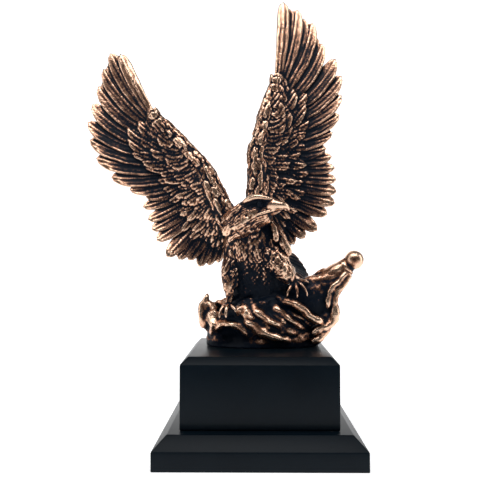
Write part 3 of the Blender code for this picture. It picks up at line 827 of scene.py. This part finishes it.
# %% [markdown]
# ## Relief on the skin
# The skin's points are moved along their normals: a ridge for each shaft, slanting barbs on the vanes, a thin
# raised rim, streaks on the plumes, a rough belly and crumpled cloth. Noise is a sum of waves in fixed
# directions, which gives the same grain on every run.

# %% Noise and relief
DIRECTIONS = np.random.default_rng(5).normal(size=(24, 3))
DIRECTIONS /= np.linalg.norm(DIRECTIONS, axis=1)[:, None]
PHASES = np.random.default_rng(8).uniform(0, math.tau, 24)


def grain(places, wavelength, first=0, stretch=(1, 1, 1)):
    """Soft noise between about -1 and 1 with the wavelength given, in drawn millimetres."""
    total = np.zeros(len(places))
    for k in range(first, first + 8):
        direction = DIRECTIONS[k % 24] * stretch
        pitch = math.tau / wavelength * (0.8 + 0.05 * (k - first))
        total += np.sin(places @ direction * pitch + PHASES[k % 24])
    return total / 4


def near(places, centre, radius):
    """1 at a centre, falling smoothly to 0 some way past the radius."""
    return np.exp(-(((places - np.array(centre)) / np.array(radius)) ** 2).sum(1))


def edge_table(mesh):
    """The two ends of each edge of a mesh."""
    ends = np.empty(len(mesh.edges) * 2, np.int32)
    mesh.edges.foreach_get("vertices", ends)
    return ends.reshape(-1, 2)


def blurred(values, ends, rounds):
    """Values averaged with their neighbours' a number of times."""
    count = len(values)
    one, other = ends[:, 0], ends[:, 1]
    share = np.bincount(one, minlength=count) + np.bincount(other, minlength=count) + 1.0
    for _ in range(rounds):
        total = values.copy()
        for k in range(values.shape[1]):
            column = values[:, k]
            total[:, k] += np.bincount(one, column[other], count) + np.bincount(other, column[one], count)
        values = total / share[:, None]
    return values


BARB_PITCH = 1.5
EYE_SOCKETS = ((-1.5, -24, 95, 4.3, 1.5), (-6.5, -21, 93.6, 3.2, 0.9))
HEM_CAVE = (-20, -16, 5, 10, 5)
BELLY = (2, -12, 50)
BELLY_SIZE = (19, 14, 15)
BELLY_ROUGHNESS = 0.35


# How far each kind of surface is raised by each pattern, in drawn millimetres
RELIEF = {
    FLIGHT: {"shaft": 0.36, "vane lines": 0.17, "barbs": 0.15, "rim": 0.3, "inside": -0.2},
    COVERT: {"shaft": 0.3, "lines": 0.24, "barbs": 0.08, "rough": 0.14},
    PLUME: {"shaft": 0.1, "strands": 0.15, "fur": 0.16, "rough": 0.14},
    SKIN: {"fur": 0.4, "rough": 0.12},
    CLOTH: {"crumple": 0.34, "rough": 0.08},
    SMOOTH: {"rough": 0.03},
}


def patterns(places, marks):
    """Each pattern's value at each point of the skin, by name."""
    across, edge, along = (marks[name] for name in MARKS[1:4])
    shaft = np.exp(-((across / 0.75) ** 2))
    lines = np.cos(across * math.tau / 2.9 + 1.3 * grain(places, 11, 6))
    lines = lines * (0.65 + 0.35 * grain(places, 17, 1))
    slant = (along - 1.1 * np.abs(across)) * math.tau / BARB_PITCH
    return {
        "shaft": shaft,
        "lines": lines,
        "vane lines": lines * (1 - shaft),
        "barbs": np.sin(slant + 0.8 * grain(places, 9, 3)),
        "strands": np.cos(across * math.tau / 1.9 + 2.6 * grain(places, 8, 13)),
        "rim": np.exp(-(((edge - 0.9) / 0.75) ** 2)),
        "inside": 1 - np.exp(-((edge / 1.9) ** 2)),
        "rough": grain(places, 2.2) + 0.7 * grain(places, 1.3, 9),
        "fur": grain(places, 4.6, 6, (1, 1, 0.45)) + 0.7 * grain(places, 2.6, 2, (1, 1, 0.5)),
        "crumple": grain(places, 9, 4, (0.6, 1, 1.3)) + 0.7 * grain(places, 4.2, 11),
    }


def relief(places, marks):
    """How far each point of the skin is raised, in drawn millimetres."""
    kind = np.rint(marks["kind"])
    values = patterns(places, marks)
    raised = np.zeros(len(places))
    for surface, strengths in RELIEF.items():
        chosen = kind == surface
        raised[chosen] = sum(strength * values[name][chosen] for name, strength in strengths.items())
    raised += BELLY_ROUGHNESS * near(places, BELLY, BELLY_SIZE) * values["rough"]
    pressed = np.zeros(len(places))
    for x, y, z, radius, depth in EYE_SOCKETS:
        pressed += depth * near(places, (x, y, z), (radius, radius, radius * 0.75))
    pressed[kind == EYEBALL] = 0
    x, y, z, radius, depth = HEM_CAVE
    pressed += depth * near(places, (x, y, z), (radius, 12, radius * 0.6)) * (kind == CLOTH)
    return raised - pressed


CLOTH_ROUNDS = 8
places = read(skin, "co", 3)
ends = edge_table(skin)
is_cloth = blurred((np.rint(marks["kind"]) == CLOTH).astype(float)[:, None], ends, 6)
places += (blurred(places, ends, CLOTH_ROUNDS) - places) * is_cloth
skin.vertices.foreach_set("co", places.astype(np.float32).ravel())
skin.update()
normals = read(skin, "vector", 3)
raised = relief(places, marks)
places += normals * raised[:, None]
skin.vertices.foreach_set("co", places.astype(np.float32).ravel())
skin.update()
print("relief from", round(raised.min(), 2), "to", round(raised.max(), 2), "mm")

# %% [markdown]
# ## Where the copper shows
# The finish is dark all over and then rubbed back, so copper shows on what stands proud and the dark stays in
# the hollows. Each point's height above a smoothed copy of the skin measures that, at two scales.

# %% Height above the smoothed skin
normals = read(skin, "vector", 3)
ROUNDS = ((6, 40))
heights = []
soft = places
done = 0
for rounds in ROUNDS:
    soft = blurred(soft, ends, rounds - done)
    done = rounds
    heights.append(((places - soft) * normals).sum(1))
    print("after", rounds, "rounds the height spreads", round(float(heights[-1].std()), 3), "mm")

# %% Keep the heights and thin the skin
THIN_TRIANGLES = 196000


def add_layer(mesh, name, values):
    """Keep one number for each point of a mesh."""
    layer = mesh.attributes.new(name, "FLOAT", "POINT")
    layer.data.foreach_set("value", values.astype(np.float32))


def thinned(mesh, triangles):
    """The mesh with about the number of triangles given; its layers are kept."""
    now = sum(len(face.vertices) - 2 for face in mesh.polygons)
    holder = bpy.data.objects.new("thinned", mesh)
    bpy.context.scene.collection.objects.link(holder)
    if now > triangles:
        reduce = holder.modifiers.new("reduce", "DECIMATE")
        reduce.ratio = triangles / now
    out = bpy.data.meshes.new_from_object(holder.evaluated_get(bpy.context.evaluated_depsgraph_get()))
    bpy.data.objects.remove(holder)
    return out


for name, height in zip(("fine", "middle"), heights):
    add_layer(skin, name, height)
for name in ("kind", "tip", "edge"):
    add_layer(skin, name, marks[name])
skin = thinned(skin, THIN_TRIANGLES)
print("thinned to", len(skin.polygons), "faces")

# %% [markdown]
# ## Cut flat and put in place
# The casting stands on its plinth with a flat underside. The skin is cut off at the plinth's top and closed,
# then scaled from drawn millimetres to metres and lifted to its place.

# %% The casting's own object
def cut_flat(mesh):
    """A bmesh of a mesh, cut off flat at height 0 and closed."""
    cut = bmesh.new()
    cut.from_mesh(mesh)
    geometry = cut.verts[:] + cut.edges[:] + cut.faces[:]
    result = bmesh.ops.bisect_plane(
        cut, geom=geometry, plane_co=(0, 0, 0), plane_no=(0, 0, 1), clear_inner=True, dist=1e-4,
    )
    edges = [item for item in result["geom_cut"] if isinstance(item, bmesh.types.BMEdge)]
    bmesh.ops.edgeloop_fill(cut, edges=edges)
    bmesh.ops.triangulate(cut, faces=cut.faces[:])
    bmesh.ops.recalc_face_normals(cut, faces=cut.faces[:])
    return cut


def piece_from(name, mesh, material):
    """A finished piece from a bmesh: in place, on the root body, with its material and slot."""
    data = bpy.data.meshes.new(name)
    mesh.to_mesh(data)
    mesh.free()
    data.materials.append(material)
    piece = bpy.data.objects.new(name, data)
    bpy.context.scene.collection.objects.link(piece)
    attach(piece, "root")
    return piece


solid = cut_flat(skin)
bmesh.ops.scale(solid, verts=solid.verts, vec=(MM, MM, MM))
bmesh.ops.translate(solid, verts=solid.verts, vec=(0, 0, PLINTH_TOP))
copper = bpy.data.materials.new("antique_copper")
eagle = piece_from("eagle_on_flag", solid, copper)
eagle.data.shade_smooth()
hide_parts("eagle_casting")
print("the casting has", len(eagle.data.polygons), "triangles")

# %% [markdown]
# ## Open and shut in
# Deep places between feathers, under the wings and in the folds are never rubbed, however smooth they are. A
# few rays from each point say how much of the air in front of it is open.

# %% Openness
RAYS = 14
RAY_REACH = 14 * MM
LIFT_OFF = 0.25 * MM
FORWARD = 1.05


def openness(mesh, rays, reach):
    """The share of rays from each point, spread about its normal, that meet nothing within reach."""
    faces = [face.vertices for face in mesh.polygons]
    tree = BVHTree.FromPolygons([vert.co for vert in mesh.vertices], faces)
    draws = np.random.default_rng(3).normal(size=(rays, 3))
    draws = [Vector(row).normalized() for row in draws]
    share = np.zeros(len(mesh.vertices))
    for index, vert in enumerate(mesh.vertices):
        start = vert.co + vert.normal * LIFT_OFF
        clear = 0
        for draw in draws:
            aim = vert.normal * FORWARD + draw
            clear += tree.ray_cast(start, aim, reach)[0] is None
        share[index] = clear / rays
    return share


def layer_values(mesh, name):
    """One number for each point, from a mesh's layer."""
    values = np.empty(len(mesh.vertices), np.float32)
    mesh.attributes[name].data.foreach_get("value", values)
    return values.astype(float)


open_share = openness(eagle.data, RAYS, RAY_REACH)
open_share = blurred(open_share[:, None], edge_table(eagle.data), 1)[:, 0]
print("open share", round(float(open_share.mean()), 2))

# %% How far each point is rubbed, and its painted light and shade
BROAD_ROUNDS = 40

# Painted light and shade, place by place: brighter where light falls on the wing ends, the bulging fold and
# the leaf, painted shade on the belly, the tail, the wing roots and under the pole and the hem, and a painted
# dark reflection on the ball's front: centre, size and how much is added
PAINTED_LIGHT_AND_SHADE_PLACES = {
    "belly": ((-2, -12, 42), (22, 18, 14), -0.75),
    "left wing's end": ((-84, 20, 192), (32, 40, 30), 0.26),
    "left wing's middle": ((-46, 10, 150), (24, 22, 34), -0.12),
    "left wing's lower feathers": ((-95, 20, 135), (36, 40, 34), -0.17),
    "right wing's end": ((22, 20, 232), (24, 40, 26), 0.24),
    "right wing": ((32, 20, 150), (46, 40, 56), -0.07),
    "right wing's root": ((22, 12, 118), (22, 18, 28), -0.22),
    "chest": ((-8, -14, 66), (14, 12, 8), 0.16),
    "neck": ((-10, -16, 86), (16, 12, 9), -0.1),
    "cheek": ((-3, -20, 89.5), (8, 8, 3.6), 0.34),
    "before the eye": ((4, -23, 96.5), (4, 6, 3), -0.6),
    "beak's side": ((13, -22, 95.2), (4.5, 6, 2.4), -0.6),
    "corner of the mouth": ((6, -23, 92.8), (5, 6, 1.8), 0.8),
    "right thigh": ((17, -12, 53), (6, 12, 10), 0.4),
    "right foot": ((25, -17, 39), (7, 6, 7), -0.8),
    "left foot": ((-23, -8, 25), (5, 12, 6), -0.4),
    "tail": ((34, 40, 56), (22, 26, 14), -0.5),
    "ball's front": ((64, -13, 59.5), (4.5, 5, 4.5), -1.1),
    "cloth under the pole": ((34, -8, 31), (11, 12, 13), -0.5),
    "cloth under the belly": ((4, -14, 36), (14, 10, 6), -0.4),
    "hollow under the hem": ((-20, -14, 6), (12, 12, 5.5), -0.5),
    "bulging fold": ((-12, -15, 24.5), (6, 8, 4.5), 0.35),
    "leaf": ((-31, -6, 20), (4.5, 8, 9), 0.25),
}
BASE_WEAR = 0.14
WEAR_BY_HEIGHT = (1.2, 0.8, 0.2)
WEAR_BY_OPENNESS = 0.7
USUAL_OPENNESS = 0.62
PATCHES = ((0.11, 30, 2), (0.09, 9, 12), (0.08, 4, 7))
BASE_FOOT = 1.5
BASE_HEIGHT = 4.5
BACK_FACING_SHADE = 0.42
EYE_WEAR = 0.1


def rubbed_and_lit(mesh, open_share):
    """From 0, dark finish, to 1, bare copper, for each point, with painted light and shade added by place and
    by the way each face turns.
    """
    drawn = (read(mesh, "co", 3) - np.array((0, 0, PLINTH_TOP))) / MM
    normals = read(mesh, "vector", 3)
    kind, tip, edge = (layer_values(mesh, name) for name in ("kind", "tip", "edge"))
    fine, middle = (layer_values(mesh, name) for name in ("fine", "middle"))
    kind = np.rint(kind)
    soft = blurred(drawn, edge_table(mesh), BROAD_ROUNDS)
    broad = ((drawn - soft) * normals).sum(1)
    wear_and_painted_light = BASE_WEAR + WEAR_BY_OPENNESS * (open_share - USUAL_OPENNESS)
    for height, strength in zip((fine, middle, broad), WEAR_BY_HEIGHT):
        wear_and_painted_light += strength * height
    for strength, wavelength, first in PATCHES:
        wear_and_painted_light += strength * grain(drawn, wavelength, first)

    # Cloth gets painted light on its upward faces and painted shade on its downward ones, and flight feathers
    # are rubbed at their tips but not on their rims
    wear_and_painted_light += (kind == CLOTH) * (0.09 - 0.35 * middle - 0.08 * broad + 0.24 * normals[:, 2])
    wear_and_painted_light += (kind == FLIGHT) * (0.36 * np.exp(-tip / 9) - 0.1 - 0.34 * np.exp(-((edge / 0.8) ** 2)))
    wear_and_painted_light += (kind == COVERT) * 0.16 * np.exp(-tip / 2.5)
    wear_and_painted_light += (kind == SMOOTH) * 0.9 * np.exp(-((tip / 2.2) ** 2))
    # Painted light and shade is added place by place
    for centre, size, more in PAINTED_LIGHT_AND_SHADE_PLACES.values():
        wear_and_painted_light += more * near(drawn, centre, size)
    # Painted shade: faces turned away from the front are darkened
    facing_back = np.clip((normals[:, 1] + 0.5) / 0.7, 0, 1)
    wear_and_painted_light -= BACK_FACING_SHADE * facing_back**2 * (3 - 2 * facing_back)
    # Darker towards the bottom, over the lowest drawn millimetres above the plinth
    wear_and_painted_light *= np.clip((drawn[:, 2] - BASE_FOOT) / BASE_HEIGHT, 0, 1)
    wear_and_painted_light[kind == EYEBALL] = EYE_WEAR
    return np.clip(wear_and_painted_light, 0, 1)


wear_and_painted_light = rubbed_and_lit(eagle.data, open_share)
add_layer(eagle.data, "wear_and_painted_light", wear_and_painted_light)
print("rubbed share", round(float((wear_and_painted_light > 0.5).mean()), 2))

# %% [markdown]
# ## Antique copper
# The plated copper is warm and metallic. The dark finish over it is a blue-black, thin film. The worn layer,
# which also holds painted light and shade, sets which one shows, a fine noise breaks their border into
# speckles, and another one gives the bump of a cast surface.

# %% The copper's nodes
def new_node(material, kind, place, **values):
    """A node with the socket values given by name."""
    node = material.node_tree.nodes.new(kind)
    node.location = place
    for name, value in values.items():
        node.inputs[name.replace("_", " ")].default_value = value
    return node


def set_ramp(ramp, stops):
    """Set a colour ramp's stops: position and colour."""
    while len(ramp.color_ramp.elements) < len(stops):
        ramp.color_ramp.elements.new(0.5)
    for element, (position, colour) in zip(ramp.color_ramp.elements, stops):
        element.position = position
        element.color = (*colour, 1)


def noise(material, place, scale, detail, **more):
    """A noise on the piece's own coordinates, as an output."""
    source = new_node(material, "ShaderNodeTexCoord", (place[0] - 200, place[1]))
    node = new_node(material, "ShaderNodeTexNoise", place, Scale=scale, Detail=detail, **more)
    material.node_tree.links.new(source.outputs["Object"], node.inputs["Vector"])
    return node.outputs["Fac"]


def ranged(material, place, value, start, end, low, high):
    """A number that runs from low to high while value runs from start to end, as an output."""
    node = new_node(material, "ShaderNodeMapRange", place, From_Min=start, From_Max=end, To_Min=low,
                    To_Max=high)
    material.node_tree.links.new(value, node.inputs["Value"])
    return node.outputs["Result"]


def toned(material, place, value, stops):
    """The colour that a ramp gives for value, as an output."""
    ramp = new_node(material, "ShaderNodeValToRGB", place)
    set_ramp(ramp, stops)
    material.node_tree.links.new(value, ramp.inputs["Fac"])
    return ramp.outputs["Color"]


def bumped(material, place, height, strength, distance):
    """The normal that a bump of the height gives, as an output."""
    bump = new_node(material, "ShaderNodeBump", place, Strength=strength, Distance=distance)
    material.node_tree.links.new(height, bump.inputs["Height"])
    return bump.outputs["Normal"]


SPECULAR = 0.12
SPECKLE = 0.6
COPPER_TONES = (
    (0.20, (0.002, 0.006, 0.014)), (0.37, (0.012, 0.016, 0.028)), (0.51, (0.18, 0.085, 0.052)),
    (0.70, (0.58, 0.305, 0.195)), (0.95, (0.93, 0.63, 0.45)),
)


def make_copper(material):
    """Bare copper on the heights, a dark blue-black finish in the hollows."""
    material.use_nodes = True
    shader = material.node_tree.nodes["Principled BSDF"]
    shader.inputs["Specular IOR Level"].default_value = SPECULAR
    link = material.node_tree.links.new
    layer = new_node(material, "ShaderNodeAttribute", (-1200, 200))
    layer.attribute_name = "wear_and_painted_light"
    shifted = new_node(material, "ShaderNodeMath", (-1000, -50))
    shifted.operation = "MULTIPLY_ADD"
    shifted.inputs[1].default_value = SPECKLE
    shifted.inputs[2].default_value = -SPECKLE / 2
    link(noise(material, (-1200, -50), 900.0, 3.0, Roughness=0.6), shifted.inputs[0])
    total = new_node(material, "ShaderNodeMath", (-800, 100))
    total.operation = "ADD"
    link(layer.outputs["Fac"], total.inputs[0])
    link(shifted.outputs["Value"], total.inputs[1])
    copper_share = total.outputs["Value"]
    link(toned(material, (-550, 250), copper_share, COPPER_TONES), shader.inputs["Base Color"])
    link(ranged(material, (-550, 0), copper_share, 0.3, 0.52, 0.0, 1.0), shader.inputs["Metallic"])
    link(ranged(material, (-550, -250), copper_share, 0.2, 0.9, 0.44, 0.2), shader.inputs["Roughness"])
    pits = noise(material, (-800, -450), 1500.0, 2.0)
    link(bumped(material, (-400, -450), pits, 0.35, 0.0004), shader.inputs["Normal"])
    return material


make_copper(copper)
print("copper nodes:", len(copper.node_tree.nodes))

# %% [markdown]
# ## The plinth
# Both steps are lacquered wood. The solids in the frame have sharp edges, but lacquer always draws into a
# small round edge that catches the light, so each step is made again with its edges eased.

# %% Lacquer and steps
LACQUER_TONES = ((0.3, (0.002, 0.0055, 0.0095)), (0.7, (0.003, 0.0075, 0.0125)))


def make_lacquer():
    """Black satin lacquer with a faint unevenness."""
    material = bpy.data.materials.new("black_lacquer")
    material.use_nodes = True
    shader = material.node_tree.nodes["Principled BSDF"]
    shader.inputs["Specular IOR Level"].default_value = SPECULAR
    link = material.node_tree.links.new
    cloud = noise(material, (-800, 150), 35.0, 4.0)
    link(toned(material, (-500, 150), cloud, LACQUER_TONES), shader.inputs["Base Color"])
    link(ranged(material, (-500, -100), cloud, 0.0, 1.0, 0.30, 0.38), shader.inputs["Roughness"])
    peel = noise(material, (-800, -350), 900.0, 2.0)
    link(bumped(material, (-500, -350), peel, 0.06, 0.0002), shader.inputs["Normal"])
    return material


def make_step(name, node, chamfer, eased, material):
    """A plinth step in place of its node: a block with chamfered top edges and every edge eased."""
    low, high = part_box(node)
    mesh = bmesh.new()
    bmesh.ops.create_cube(mesh, size=1)
    bmesh.ops.scale(mesh, verts=mesh.verts, vec=high - low)
    top_edges = [edge for edge in mesh.edges if all(vert.co.z > 0 for vert in edge.verts)]
    bmesh.ops.bevel(mesh, geom=top_edges, offset=chamfer, segments=1, profile=0.5, affect="EDGES",
                    material=-1)
    bmesh.ops.bevel(mesh, geom=mesh.edges[:], offset=eased, segments=3, profile=0.5, affect="EDGES",
                    material=-1)
    bmesh.ops.translate(mesh, verts=mesh.verts, vec=(low + high) / 2)
    bmesh.ops.recalc_face_normals(mesh, faces=mesh.faces[:])
    step = piece_from(name, mesh, material)
    step.data.shade_smooth()
    step.data.set_sharp_from_angle(angle=math.radians(35))
    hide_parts(node)
    return step


SLAB_CHAMFER = 0.008
BLOCK_CHAMFER = 0.0045
EASED_EDGE = 0.0005
lacquer = make_lacquer()
for name, node, chamfer in (("lacquered_slab", "base_slab", SLAB_CHAMFER),
                            ("lacquered_block", "plinth_block", BLOCK_CHAMFER)):
    step = make_step(name, node, chamfer, EASED_EDGE, lacquer)
    print(name, [round(side, 4) for side in step.dimensions])
